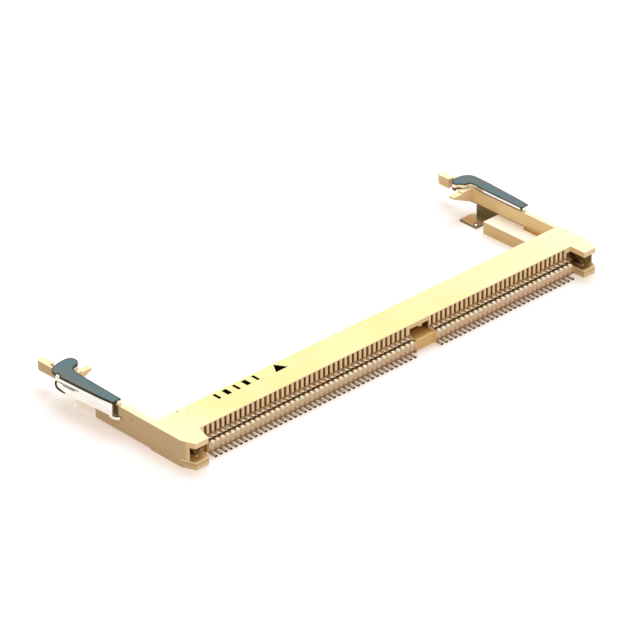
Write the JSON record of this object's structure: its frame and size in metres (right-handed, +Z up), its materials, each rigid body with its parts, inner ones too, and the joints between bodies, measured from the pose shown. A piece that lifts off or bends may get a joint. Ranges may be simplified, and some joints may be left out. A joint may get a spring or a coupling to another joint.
{
  "type": "module socket",
  "caption": "Low right-angle card-edge socket for a small memory card: ivory U-shaped housing, sprung steel side latches, contact rows with rear and front solder tails.",
  "frame": {"origin": "middle of the housing on the board plane, under the rear face of the flat top", "axes": "+X along the contact rows toward the narrow bank, +Y from the rear tails toward the arm tips, +Z up from the board"},
  "size_m": [0.0718, 0.0282, 0.0042],
  "materials": {
    "housing_resin": "moulded ivory resin, faint satin",
    "latch_steel": "bright rolled stainless sheet",
    "hold_down_metal": "plated solder tab",
    "contact_metal": "tin plated copper alloy strip"
  },
  "bodies": {
    "socket": {"contacts_lower_narrow_1": "contact_metal", "contacts_lower_narrow_2": "contact_metal", "contacts_lower_narrow_3": "contact_metal", "contacts_lower_narrow_4": "contact_metal", "contacts_lower_narrow_5": "contact_metal", "contacts_lower_wide_1": "contact_metal", "contacts_lower_wide_2": "contact_metal", "contacts_lower_wide_3": "contact_metal", "contacts_lower_wide_4": "contact_metal", "contacts_lower_wide_5": "contact_metal", "contacts_lower_wide_6": "contact_metal", "contacts_lower_wide_7": "contact_metal", "contacts_upper_narrow_1": "contact_metal", "contacts_upper_narrow_2": "contact_metal", "contacts_upper_narrow_3": "contact_metal", "contacts_upper_narrow_4": "contact_metal", "contacts_upper_narrow_5": "contact_metal", "contacts_upper_wide_1": "contact_metal", "contacts_upper_wide_2": "contact_metal", "contacts_upper_wide_3": "contact_metal", "contacts_upper_wide_4": "contact_metal", "contacts_upper_wide_5": "contact_metal", "contacts_upper_wide_6": "contact_metal", "contacts_upper_wide_7": "contact_metal", "hold_down_left": "hold_down_metal", "hold_down_right": "hold_down_metal", "housing": "housing_resin"},
    "latch_left": {"latch_left": "latch_steel"},
    "latch_right": {"latch_right": "latch_steel"}
  },
  "joints": [
    {"name": "latch_left_swing", "type": "hinge", "parent": "socket", "child": "latch_left", "pos_m": [-0.0349, 0.0105, 0.0031], "axis": [0, 0, 1], "range_deg": [0, 7], "stiffness_Nm_per_rad": 0.05},
    {"name": "latch_right_swing", "type": "hinge", "parent": "socket", "child": "latch_right", "pos_m": [0.0349, 0.0105, 0.0031], "axis": [0, 0, -1], "range_deg": [0, 7], "stiffness_Nm_per_rad": 0.05}
  ]
}
